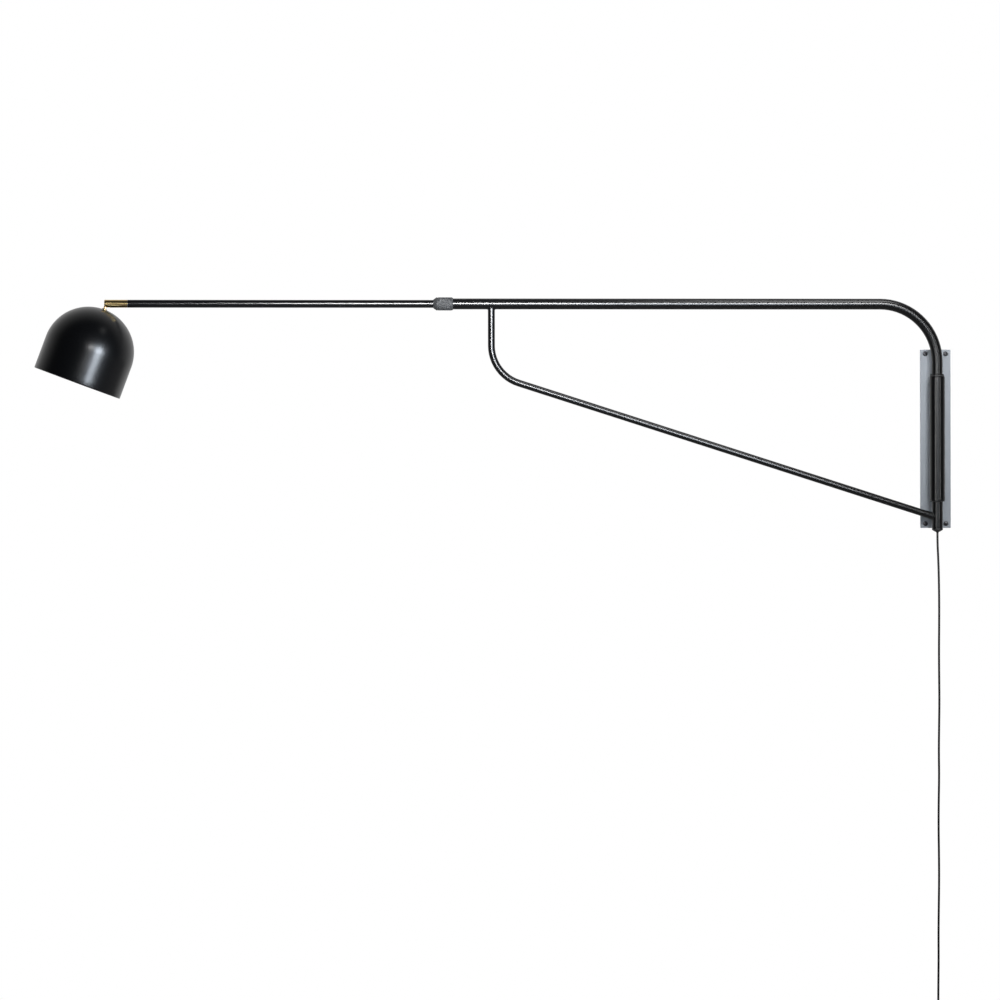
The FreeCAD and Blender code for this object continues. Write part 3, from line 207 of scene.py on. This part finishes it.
def opal_glass():
    material, tree, shader = new_tree("opal_glass")
    where = placed(tree)
    cloud = noise(tree, where, 25.0, 3.0)
    tree.links.new(mixed(tree, cloud, (0.86, 0.86, 0.83), (0.92, 0.92, 0.90)), shader.inputs["Base Color"])
    tree.links.new(ranged(tree, noise(tree, where, 60.0), 0.12, 0.2), shader.inputs["Roughness"])
    shader.inputs["Subsurface Weight"].default_value = 0.3
    shader.inputs["Subsurface Radius"].default_value = (0.01, 0.01, 0.009)
    shader.inputs["Coat Weight"].default_value = 0.4
    bumped(tree, shader, [(noise(tree, where, 140.0), 0.05, 0.00005)])
    return material


OPAL = opal_glass()


# ---------------------------------------------------------------- making pieces


def shown(name, mesh, materials, body, replaced=(), place=Matrix.Identity(4), smooth=35.0):
    """Links a mesh as a piece that rides on a body, hiding the nodes it replaces."""
    mesh.transform(place)
    for entry in materials:
        mesh.materials.append(entry)
    mesh.shade_smooth()
    mesh.set_sharp_from_angle(angle=math.radians(smooth))
    piece = linked(name, mesh)
    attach(piece, body)
    if replaced:
        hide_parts(*replaced)


def to_mesh(name, bm):
    bmesh.ops.remove_doubles(bm, verts=bm.verts, dist=1e-6)
    bmesh.ops.recalc_face_normals(bm, faces=bm.faces)
    mesh = bpy.data.meshes.new(name)
    bm.to_mesh(mesh)
    bm.free()
    return mesh


def lathe(name, profile, steps=96, closed=True, ripple=None, inside_from=None):
    """Turns (radius, height) points about Z. ripple(radius, height, angle) may change a radius, and faces
    from point inside_from on take the second material."""
    bm = bmesh.new()
    rings = []
    for radius, height in profile:
        if radius < 1e-7:
            rings.append([bm.verts.new((0, 0, height))])
            continue
        ring = []
        for i in range(steps):
            angle = 2 * math.pi * i / steps
            r = ripple(radius, height, angle) if ripple else radius
            ring.append(bm.verts.new((r * math.cos(angle), r * math.sin(angle), height)))
        rings.append(ring)
    pairs = list(zip(rings, rings[1:]))
    if closed:
        pairs.append((rings[-1], rings[0]))
    for index, (a, b) in enumerate(pairs):
        made = []
        if len(a) == 1 and len(b) == 1:
            continue
        for i in range(steps):
            j = (i + 1) % steps
            if len(a) == 1:
                made.append(bm.faces.new((a[0], b[j], b[i])))
            elif len(b) == 1:
                made.append(bm.faces.new((a[i], a[j], b[0])))
            else:
                made.append(bm.faces.new((a[i], a[j], b[j], b[i])))
        if inside_from is not None and index >= inside_from:
            for face in made:
                face.material_index = 1
    return to_mesh(name, bm)


def arc(cx, cy, radius, start, stop, count):
    """Points of an arc, angles in degrees from +radius direction towards +height."""
    spots = []
    for i in range(count + 1):
        angle = math.radians(start + (stop - start) * i / count)
        spots.append((cx + radius * math.cos(angle), cy + radius * math.sin(angle)))
    return spots


# ---------------------------------------------------------------- cords

# Points in millimetres from the pivot's axis, level with the wall plate's middle.
HANGING = [
    (0.0, 0.0, -216.0),
    (0.0, 0.0, -240.0),
    (1.6, 0.6, -270.0),
    (2.9, 0.5, -310.0),
    (3.7, -0.4, -365.0),
    (3.5, -1.0, -425.0),
    (2.9, -0.6, -487.0),
    (3.4, 0.3, -548.0),
    (4.0, 0.9, -606.0),
    (3.1, 0.7, -662.0),
    (2.2, -0.2, -722.0),
    (2.9, -0.9, -775.0),
    (1.7, -0.6, -835.0),
    (1.4, 0.4, -893.0),
    (2.3, 1.0, -952.0),
    (2.6, 0.6, -1014.0),
    (1.6, -0.3, -1074.0),
    (0.7, -0.8, -1136.0),
    (1.0, -0.3, -1196.0),
    (0.4, 0.2, -1250.0),
    (0.0, 0.0, -1300.0),
    (0.0, 0.0, -1331.0),
]
CORD = 0.005
SWITCH_AT = -1.351
TERMINAL_HALF = 0.020
COIL_AT = -1.465
COIL_INNER = 0.020
COIL_PITCH = 0.0057
LAYER_PITCH = 0.0057
COIL_TURNS = (3.5, 0.25, 3.5)
COIL_STARTS = 45.0
PLUG_AT = -1.546
TURN_POINTS = 24


def coil_point(turn):
    inwards, across, outwards = COIL_TURNS
    if turn < inwards:
        radius = COIL_INNER + COIL_PITCH * (inwards - turn)
    elif turn < inwards + across:
        radius = COIL_INNER
    else:
        radius = COIL_INNER + COIL_PITCH * (turn - inwards - across)
    share = min(max((turn - inwards) / across, 0.0), 1.0)
    angle = math.radians(COIL_STARTS - 360 * turn)
    return Vector((radius * math.cos(angle), -LAYER_PITCH * share, COIL_AT + radius * math.sin(angle)))


def coil_way(turn):
    return (coil_point(turn + 0.002) - coil_point(turn - 0.002)).normalized()


def nurbs(name, points):
    """A cord's curve through its route's control points, in the pivot's frame."""
    curve = bpy.data.curves.new(name, "CURVE")
    curve.dimensions = "3D"
    curve.bevel_depth = CORD / 2
    curve.bevel_resolution = 6
    curve.resolution_u = 6
    curve.use_fill_caps = True
    spline = curve.splines.new("NURBS")
    spline.points.add(len(points) - 1)
    for point, spot in zip(spline.points, points):
        point.co = (spot.x, spot.y - AXIS_OFF, spot.z, 1)
    spline.order_u = 3
    spline.use_endpoint_u = True
    curve.materials.append(JACKET)
    piece = linked(name, curve)
    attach(piece, "wall_bracket")
    return piece


hanging = nurbs("cord_down", [Vector(p) / 1000 for p in HANGING])
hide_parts("cord_hanging")

total_turns = sum(COIL_TURNS)
enters = coil_point(0) - coil_way(0) * CORD
leaves = coil_point(total_turns) + coil_way(total_turns) * CORD
first_corner = enters - coil_way(0) * (enters.x / coil_way(0).x)
last_corner = leaves - coil_way(total_turns) * (leaves.x / coil_way(total_turns).x)
turn_count = int(total_turns * TURN_POINTS)
coil_route = [coil_point(i / TURN_POINTS) for i in range(turn_count + 1)]
wound_route = [Vector((0, 0, SWITCH_AT - TERMINAL_HALF)), first_corner, enters, *coil_route]
wound_route += [leaves, last_corner, Vector((0, last_corner.y, PLUG_AT))]
wound = nurbs("cord_wound", wound_route)
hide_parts("cord_drop", "cord_coil", "cord_tail")


# ---------------------------------------------------------------- shade and lamp

SEAT_DROP = 0.014
DOME = 0.103
STRAIGHT = 0.076
WALL = 0.0015
HEM = 0.0016
HEM_STEP = 0.0001
HEM_TALL = 2.6 * HEM
dome_middle = -(SEAT_DROP + DOME)
mouth = dome_middle - STRAIGHT
STUB = 0.00505

outer = arc(0, dome_middle, DOME, 90, 0, 48)
outer[0] = (STUB, outer[0][1])
outer += [(DOME, dome_middle - STRAIGHT * i / 6) for i in range(1, 6)]
hem = arc(DOME - HEM, mouth + HEM, HEM, 0, -180, 14)
hem += arc(DOME - HEM, mouth + HEM, HEM, 180, 130, 3)
inner_start = (DOME - WALL - HEM_STEP, mouth + HEM_TALL)
inner = [inner_start] + [(DOME - WALL, dome_middle - STRAIGHT * (5 - i) / 6) for i in range(5)]
inner += arc(0, dome_middle, DOME - WALL, 0, 90, 48)
inner[-1] = (STUB, inner[-1][1])
shade_profile = outer + hem + inner
shade_mesh = lathe("shade_shell", shade_profile, 192, inside_from=len(outer) + len(hem) - 2)
shown("shade_shell", shade_mesh, [SHADE_BLACK, WHITE], "shade_head", ["shade"], HEAD, 40)


def threaded(radius, top, foot, pitch, depth):
    """The side of a rolled lamp thread as rings, coarse enough to read and smooth in section."""
    count = int((top - foot) / pitch * 8)
    rings = []
    for i in range(count + 1):
        height = top + (foot - top) * i / count
        wave = 0.5 - 0.5 * math.cos(2 * math.pi * (top - height) / pitch)
        rings.append((radius - depth * wave, height))
    return rings


LAMP_TOP = -0.05149
CAP = 0.0132
CAP_TALL = 0.0255
LAMP_NECK = LAMP_TOP - CAP_TALL
GLOBE = 0.030
GLOBE_AT = LAMP_TOP - 0.105 + GLOBE

cap_side = threaded(CAP, LAMP_TOP - 0.0056, LAMP_NECK + 0.003, pitch=0.0036, depth=0.0012)
cap_profile = [(0, LAMP_TOP), (0.003, LAMP_TOP - 0.0003), (0.0045, LAMP_TOP - 0.0012)]
cap_profile += [(0.0048, LAMP_TOP - 0.0016), (0.011, LAMP_TOP - 0.0050)]
cap_profile += [*cap_side, (CAP, LAMP_NECK), (0, LAMP_NECK)]
cap_mesh = lathe("lamp_screw_cap", cap_profile, 96, closed=False)
shown("lamp_screw_cap", cap_mesh, [NICKEL], "shade_head", ["lamp_cap"], HEAD, 60)

throat = GLOBE * 0.7
level = GLOBE_AT + math.sqrt(GLOBE**2 - throat**2)
neck = [(0, LAMP_NECK - 0.00002), (0.0128, LAMP_NECK - 0.00002), (0.0130, LAMP_NECK - 0.004)]
neck += [(0.0138, LAMP_NECK - 0.009), (0.0168, LAMP_NECK - 0.0145)]
tilted = math.degrees(math.acos(throat / GLOBE))
globe_profile = neck + arc(0, GLOBE_AT, GLOBE, tilted, -90, 40)
globe_profile[-1] = (0, GLOBE_AT - GLOBE)
globe_mesh = lathe("lamp_bulb", globe_profile, 96, closed=False)
shown("lamp_bulb", globe_mesh, [OPAL], "shade_head", ["lamp_globe"], HEAD, 50)


# ---------------------------------------------------------------- twist collar

COLLAR_LOW = 1.1138
COLLAR_HIGH = 1.1587
COLLAR = 0.015
SKIRT_BORE = 0.0126
MOUTH_BORE = 0.0093
RIBS = 30
GRIP_FROM = COLLAR_LOW + 0.0042
GRIP_TO = COLLAR_HIGH - 0.0124
FLUTE_DEEP = 0.00055
FLUTE_FADE = 0.0012
MOUTH_FROM = 1.1525
TAPER_FROM = 1.1410


def grip(radius, height, angle):
    """Shallow flutes on the collar's grip, fading out at both ends."""
    if radius < COLLAR - 0.0004 or not GRIP_FROM < height < GRIP_TO:
        return radius
    fade = min(1.0, (height - GRIP_FROM) / FLUTE_FADE, (GRIP_TO - height) / FLUTE_FADE)
    return radius - FLUTE_DEEP * fade * (0.5 + 0.5 * math.cos(RIBS * angle)) ** 3


shoulder = COLLAR_HIGH - 0.007
collar_profile = [(SKIRT_BORE, COLLAR_LOW), (COLLAR - 0.0018, COLLAR_LOW)]
collar_profile += [(COLLAR - 0.0012, COLLAR_LOW + 0.0005), (COLLAR - 0.0003, COLLAR_LOW + 0.0024)]
collar_profile += [(COLLAR, COLLAR_LOW + 0.0036)]
collar_profile += [(COLLAR, GRIP_FROM + (GRIP_TO - GRIP_FROM) * i / 24) for i in range(25)]
collar_profile += [(COLLAR, shoulder - 0.0042), (COLLAR - 0.0002, shoulder - 0.0040)]
collar_profile += [(COLLAR - 0.0008, shoulder - 0.0039), (COLLAR - 0.0008, shoulder - 0.0021)]
collar_profile += [(COLLAR - 0.0002, shoulder - 0.0020), (COLLAR, shoulder - 0.0018)]
collar_profile += [(COLLAR, shoulder - 0.0003), (COLLAR - 0.0003, shoulder)]
collar_profile += [(0.0103, COLLAR_HIGH - 0.0004), (0.0099, COLLAR_HIGH), (MOUTH_BORE, COLLAR_HIGH)]
collar_profile += [(MOUTH_BORE, MOUTH_FROM), (0.0105, MOUTH_FROM), (SKIRT_BORE, TAPER_FROM)]
collar_mesh = lathe("twist_grip", collar_profile, 240, ripple=grip)
shown("twist_grip", collar_mesh, [COLLAR_BLACK], "twist_collar", ["lock_collar"], REACH, 45)


# ---------------------------------------------------------------- screws

PLATE_THICK = 0.005
HEAD_PROUD = 0.0004
SCREW_ASIDE = 0.0235
SCREW_UP = 0.196
THREAD_PITCH = 0.0016
THREAD_DEEP = 0.0006
LAST_TURN = 0.0012

def cross_screw(shank, neck, head, long, point, free, recess):
    """A countersunk screw about Z, its slightly domed head at Z = 0, with a cross recess cut in."""
    cone = (head - neck) / 2
    dome = arc(0, -head * 1.1, head * 1.1 + 0.0004, 90, 64, 6)
    profile = [(r, min(z, 0.0003)) for r, z in dome if r < head / 2 - 0.0002]
    profile[0] = (0, profile[0][1])
    body = profile + [(head / 2 - 0.0001, 0.0), (head / 2, -0.0001), (neck / 2, -cone), (neck / 2, -free)]
    count = int((long - point - free) / THREAD_PITCH)
    crest = shank / 2
    root = crest - THREAD_DEEP
    for i in range(count):
        top = -free - i * THREAD_PITCH
        if top - LAST_TURN < point - long:
            break
        body += [(root, top), (crest, top - 0.0004), (crest, top - 0.0006), (root, top - 0.0010)]
    body += [(crest - 0.0003, point - long), (0.0003, -long), (0, -long)]
    mesh = lathe("screw", body, 48, closed=False)
    screw = linked("screw", mesh)
    cutter = linked("cutter", cross_cutter(recess))
    cut = screw.modifiers.new("cut", "BOOLEAN")
    cut.object = cutter
    cut.solver = "EXACT"
    depsgraph = bpy.context.evaluated_depsgraph_get()
    result = bpy.data.meshes.new_from_object(screw.evaluated_get(depsgraph))
    bpy.data.objects.remove(screw)
    bpy.data.objects.remove(cutter)
    return result


def cross_cutter(recess):
    """A tapered cross, wide at the head's face and narrow at its foot."""
    bm = bmesh.new()
    half, slot_half, top, foot = recess / 2, recess / 9, 0.001, -recess * 0.42
    outline = []
    for quarter in range(4):
        turn = Matrix.Rotation(math.pi / 2 * quarter, 2)
        for x, y in ((half, -slot_half), (half, slot_half), (slot_half * 1.6, slot_half * 1.6)):
            outline.append(turn @ Vector((x, y)))
    upper = [bm.verts.new((p.x, p.y, top)) for p in outline]
    lower = [bm.verts.new((p.x * 0.45, p.y * 0.45, foot)) for p in outline]
    bm.faces.new(upper)
    bm.faces.new(list(reversed(lower)))
    for i in range(len(outline)):
        j = (i + 1) % len(outline)
        bm.faces.new((upper[i], upper[j], lower[j], lower[i]))
    bmesh.ops.recalc_face_normals(bm, faces=bm.faces)
    mesh = bpy.data.meshes.new("cutter")
    bm.to_mesh(mesh)
    bm.free()
    return mesh


def joined(name, parts):
    """One mesh of several, each with its own placing."""
    bm = bmesh.new()
    for mesh, place in parts:
        copy = mesh.copy()
        copy.transform(place)
        bm.from_mesh(copy)
        bpy.data.meshes.remove(copy)
    result = bpy.data.meshes.new(name)
    bm.to_mesh(result)
    bm.free()
    return result


screw_mesh = cross_screw(
    shank=0.006, neck=0.0046, head=0.012, long=0.050, point=0.008, free=0.0058, recess=0.0052
)
face_room = Matrix.Rotation(math.radians(90), 4, "X")
spots = []
for aside, upright, degrees in ((-1, -1, 20), (1, -1, 65), (-1, 1, 8), (1, 1, 48)):
    turn = Matrix.Rotation(math.radians(degrees), 4, "Z")
    seat = Matrix.Translation((aside * SCREW_ASIDE, HEAD_PROUD - PLATE_THICK, upright * SCREW_UP))
    spots.append((screw_mesh, seat @ face_room @ turn))
screws = joined("wall_screws", spots)
shown("wall_screws", screws, [SCREW], "wall_bracket", ["plate_screws"])


# ---------------------------------------------------------------- weld beads

TUBE = 0.0125
BRACE = 0.008
BRACE_REACH = 1.026
BRACE_FOOT = -0.182
BRACE_RISE = 0.3216
BEAD_WIDE = 0.0034
BEAD_HIGH = 0.0022
BEAD_RIPPLE = 0.10
BEAD_SIDES = 8
BEAD_STEPS = 96


def bead(points, normals):
    """A rippled fillet of weld along a closed line, lying against the surface whose normals are given."""
    bm = bmesh.new()
    count = len(points)
    rings = []
    for i, (spot, up) in enumerate(zip(points, normals)):
        along = (points[(i + 1) % count] - points[i - 1]).normalized()
        aside = along.cross(up).normalized()
        scale = 1 + BEAD_RIPPLE * math.cos(i * 2 * math.pi / 4)
        ring = []
        for k in range(BEAD_SIDES):
            angle = 2 * math.pi * k / BEAD_SIDES
            offset = aside * (BEAD_WIDE / 2 * scale * math.cos(angle))
            offset += up * (BEAD_HIGH / 2 * scale * math.sin(angle))
            ring.append(bm.verts.new(spot + offset))
        rings.append(ring)
    for a, b in zip(rings, rings[1:] + rings[:1]):
        for k in range(BEAD_SIDES):
            j = (k + 1) % BEAD_SIDES
            bm.faces.new((a[k], a[j], b[j], b[k]))
    return to_mesh("bead", bm)


under_points, under_normals, leg_points, leg_normals = [], [], [], []
lean = math.atan(BRACE_RISE)
brace_way = Vector((-math.cos(lean), 0, math.sin(lean)))
brace_up = Vector((math.sin(lean), 0, math.cos(lean)))
for i in range(BEAD_STEPS):
    angle = 2 * math.pi * i / BEAD_STEPS
    across, along = BRACE * math.cos(angle), BRACE * math.sin(angle)
    rise = math.sqrt(TUBE**2 - across**2)
    under_points.append(Vector((-BRACE_REACH + along, across, ARM_HEIGHT - rise)))
    side = Vector((along, across, 0)).normalized()
    under_normals.append((Vector((0, across, -rise)).normalized() + side).normalized())
    foot = Vector((0, across, BRACE_FOOT)) + brace_up * along
    reach = (math.sqrt(TUBE**2 - across**2) + foot.x) / math.cos(lean)
    spot = foot + brace_way * reach
    leg_points.append(spot)
    side = (Vector((0, across, 0)) + brace_up * along).normalized()
    leg_normals.append((Vector((spot.x, spot.y, 0)).normalized() + side).normalized())
both = [bead(under_points, under_normals), bead(leg_points, leg_normals)]
beads = joined("weld_beads", [(mesh, Matrix.Identity(4)) for mesh in both])
shown("weld_beads", beads, [BLACK], "arm", (), ARM, 60)


# ---------------------------------------------------------------- materials on the model's own nodes

FINISHES = [
    (BLACK, "pivot_sleeve sleeve_blocks support_ring main_tube brace_tube inner_tube"),
    (PLATE_GREY_PAINTED_REFLECTION, "wall_plate"),
    (BRASS, "knuckle_sleeve tilt_pin shade_neck"),
    (ZINC, "block_screws lock_washer shade_nut tilt_washers swivel_washer swivel_grub clamp_insert"),
    (NYLON, "upper_bush lower_bush collet_ring guide_bush"),
    (PLASTIC, "leg_cap cord_gland tail_grommet holder_cap lampholder"),
    (PLASTIC, "switch_front switch_back switch_rocker plug_body plug_relief"),
    (JACKET, "leg_lead curly_lead extension_lead head_lead"),
    (STRAP, "coil_tie"),
    (NICKEL, "plug_pins"),
    (CERAMIC, "contact_carrier switch_terminals"),
]
for material, names in FINISHES:
    for name in names.split():
        mesh = NODES[name].data
        mesh.materials.clear()
        mesh.materials.append(material)


# ---------------------------------------------------------------- floor, world and lamps

FLOOR = -1.75
FLOOR_LEFT = -7
FLOOR_RIGHT = 5
FLOOR_FRONT = -7
FLOOR_BACK = 3.2
FLOOR_GLOW = 0.8
floor_corners = [(FLOOR_LEFT, FLOOR_FRONT, FLOOR), (FLOOR_RIGHT, FLOOR_FRONT, FLOOR)]
floor_corners += [(FLOOR_RIGHT, FLOOR_BACK, FLOOR), (FLOOR_LEFT, FLOOR_BACK, FLOOR)]
floor_mesh = bpy.data.meshes.new("floor")
floor_mesh.from_pydata(floor_corners, [], [(0, 1, 2, 3)])
floor = linked("floor", floor_mesh)


def floor_paint():
    """Pale floor that shows as white and keeps the shadow."""
    material, tree, shader = new_tree("floor")
    shader.inputs["Base Color"].default_value = (0.9, 0.9, 0.9, 1)
    shader.inputs["Roughness"].default_value = 0.9
    paths = add(tree, "ShaderNodeLightPath")
    glow = add(tree, "ShaderNodeEmission")
    glow.inputs["Color"].default_value = (1, 1, 1, 1)
    share = add(tree, "ShaderNodeMath", operation="MULTIPLY")
    share.inputs[1].default_value = FLOOR_GLOW
    tree.links.new(paths.outputs["Is Camera Ray"], share.inputs[0])
    blend = add(tree, "ShaderNodeMixShader")
    tree.links.new(share.outputs[0], blend.inputs[0])
    tree.links.new(shader.outputs[0], blend.inputs[1])
    tree.links.new(glow.outputs[0], blend.inputs[2])
    tree.links.new(blend.outputs[0], tree.nodes["Material Output"].inputs["Surface"])
    return material


floor_mesh.materials.append(floor_paint())

WORLD_PLAIN = 0.15
WORLD_FRONT = 0.02
WORLD_BACK = 0.75
world = bpy.data.worlds.new("studio")
bpy.context.scene.world = world
world.use_nodes = True
sky = world.node_tree
background = sky.nodes["Background"]
paths = add(sky, "ShaderNodeLightPath")
coords = add(sky, "ShaderNodeTexCoord")
split = add(sky, "ShaderNodeSeparateXYZ")
sky.links.new(coords.outputs["Generated"], split.inputs[0])
mirror = ranged(sky, split.outputs["Y"], WORLD_FRONT, WORLD_BACK, start=-0.15, stop=0.75)


def choose(condition, when, otherwise):
    """when or otherwise, by a ray's kind; each is a number or a socket."""
    node = add(sky, "ShaderNodeMix", data_type="FLOAT")
    sky.links.new(condition, node.inputs["Factor"])
    for socket, value in (("A", otherwise), ("B", when)):
        if isinstance(value, (int, float)):
            node.inputs[socket].default_value = value
        else:
            sky.links.new(value, node.inputs[socket])
    return node.outputs["Result"]


strength = choose(paths.outputs["Is Glossy Ray"], mirror, WORLD_PLAIN)
strength = choose(paths.outputs["Is Transmission Ray"], 1.0, strength)
strength = choose(paths.outputs["Is Camera Ray"], 1.0, strength)
sky.links.new(strength, background.inputs["Strength"])
background.inputs["Color"].default_value = (1, 1, 1, 1)


def softbox(name, spot, aim, wide, tall, watts, spread, colour=(1, 1, 1)):
    """A rectangular area lamp, its spread in degrees."""
    data = bpy.data.lights.new(name, "AREA")
    data.shape = "RECTANGLE"
    data.size = wide
    data.size_y = tall
    data.energy = watts
    data.spread = math.radians(spread)
    data.color = colour
    lamp = linked(name, data)
    way = Vector(aim) - Vector(spot)
    lamp.matrix_world = Matrix.Translation(spot) @ way.to_track_quat("-Z", "Y").to_matrix().to_4x4()


COOL = (0.82, 0.9, 1.0)
softbox("key", (-0.15, -3.0, 0.15), (-1.85, 0, 0.22), wide=1.0, tall=1.0, watts=14, spread=60, colour=COOL)
softbox("arm_front", (-0.97, -3.0, 0.66), (-0.97, 0, 0.30), wide=0.95, tall=0.34, watts=5.5, spread=32)
softbox("plate_front", (0.25, -3.0, 1.10), (0.05, 0, 0.30), wide=0.8, tall=0.5, watts=3.2, spread=36)
softbox("leg_strip", (0.90, -1.25, 0.05), (1.6, -0.05, 0.02), wide=0.14, tall=1.3, watts=13, spread=160)
softbox("left_fill", (-1.3, -2.2, 0.2), (0.3, 0, 0.1), wide=0.25, tall=1.2, watts=1.2, spread=60)
softbox("top", (0.3, -1.2, 2.6), (0.1, 0, 0), wide=1.2, tall=0.8, watts=4, spread=70)
